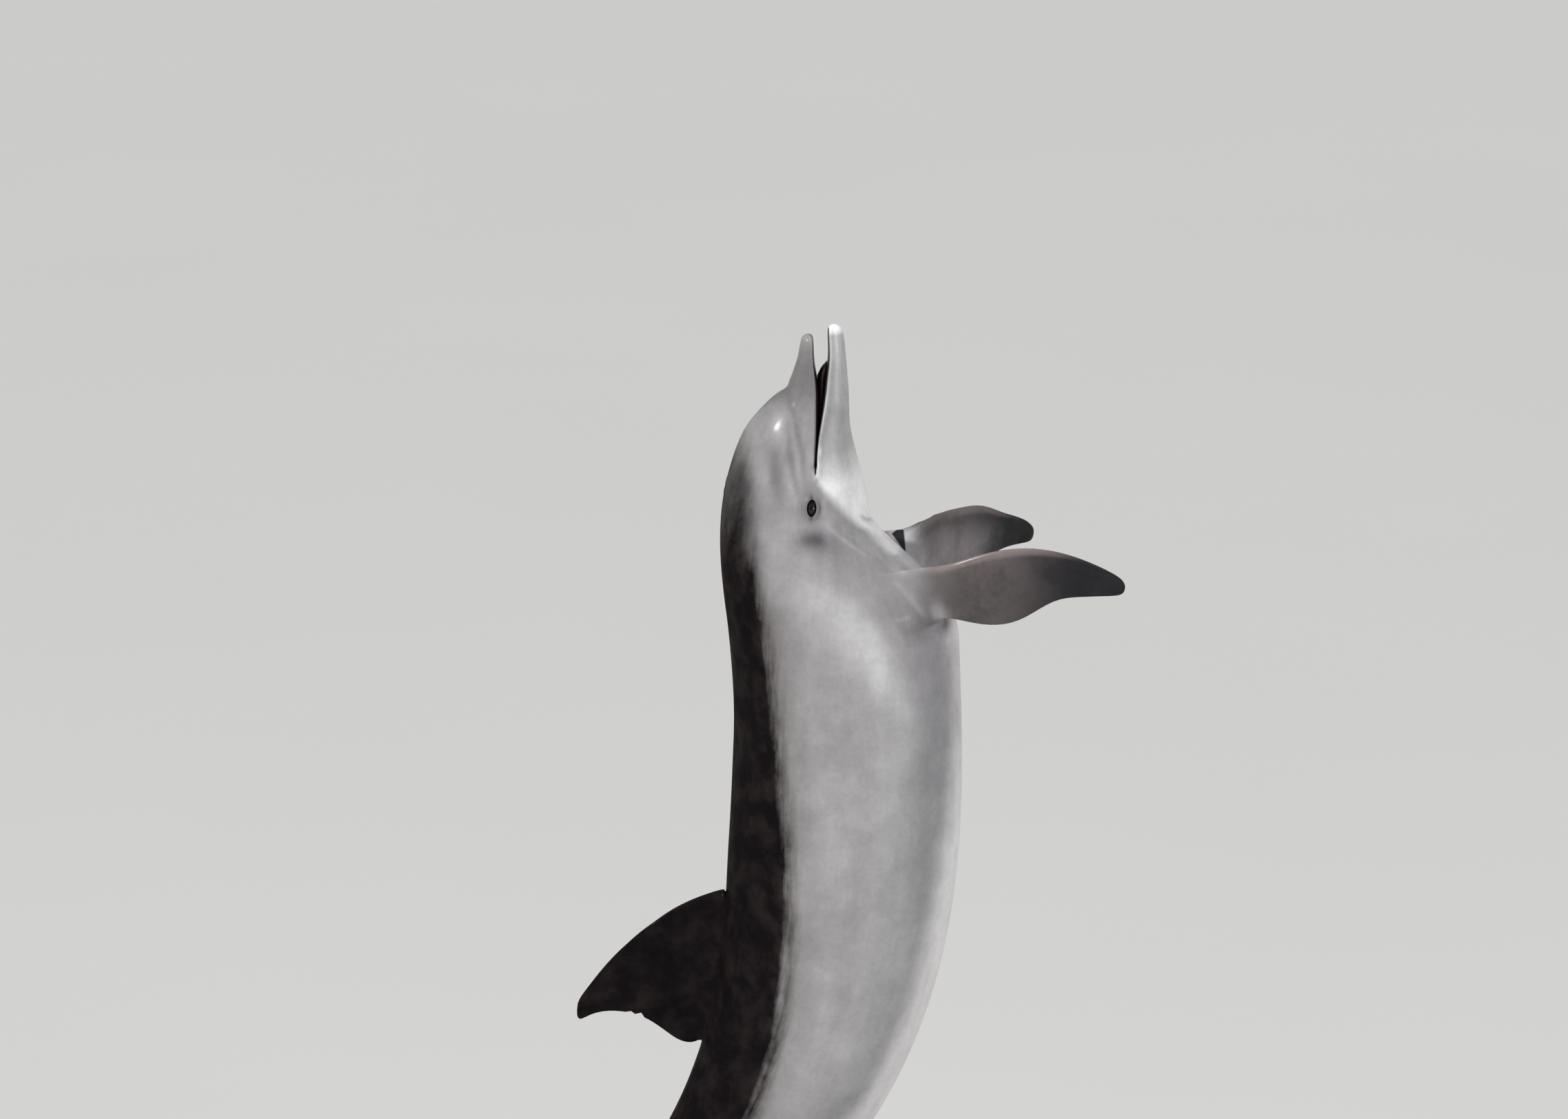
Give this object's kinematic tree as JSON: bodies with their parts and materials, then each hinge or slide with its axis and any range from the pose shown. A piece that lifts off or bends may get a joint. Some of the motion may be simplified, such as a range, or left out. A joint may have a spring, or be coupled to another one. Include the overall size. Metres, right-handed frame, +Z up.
{
  "type": "bottlenose dolphin museum model",
  "caption": "Life-size still model of a bottlenose dolphin rising head first, beak slightly open and flippers held forward, on rods and a flat base.",
  "frame": {"origin": "middle of the underside of the stand's base", "axes": "+Z up, +X the side the belly faces, -X the side the back faces and the tail sweeps to, -Y the animal's right"},
  "size_m": [1.4887, 0.8, 2.4],
  "materials": {
    "flank_skin": "wet satin, mid grey shading to near black on the back and to white on the belly",
    "belly_skin": "wet satin, pale grey to white",
    "back_skin": "wet satin, dark brown grey",
    "eye": "glossy, near black",
    "stand_board": "black lacquered board, satin",
    "stand_steel": "dark powder coated steel"
  },
  "bodies": {
    "root": {"upper_jaw": "flank_skin", "lower_jaw": "belly_skin", "head": "flank_skin", "chest": "flank_skin", "trunk": "flank_skin", "tail_stock": "flank_skin", "dorsal_fin": "back_skin", "flipper_right": "back_skin", "flipper_left": "back_skin", "fluke_right": "back_skin", "fluke_left": "back_skin", "eye_right": "eye", "eye_left": "eye", "stand_base": "stand_board", "stand_rod_front": "stand_steel", "stand_rod_rear": "stand_steel"}
  },
  "joints": []
}
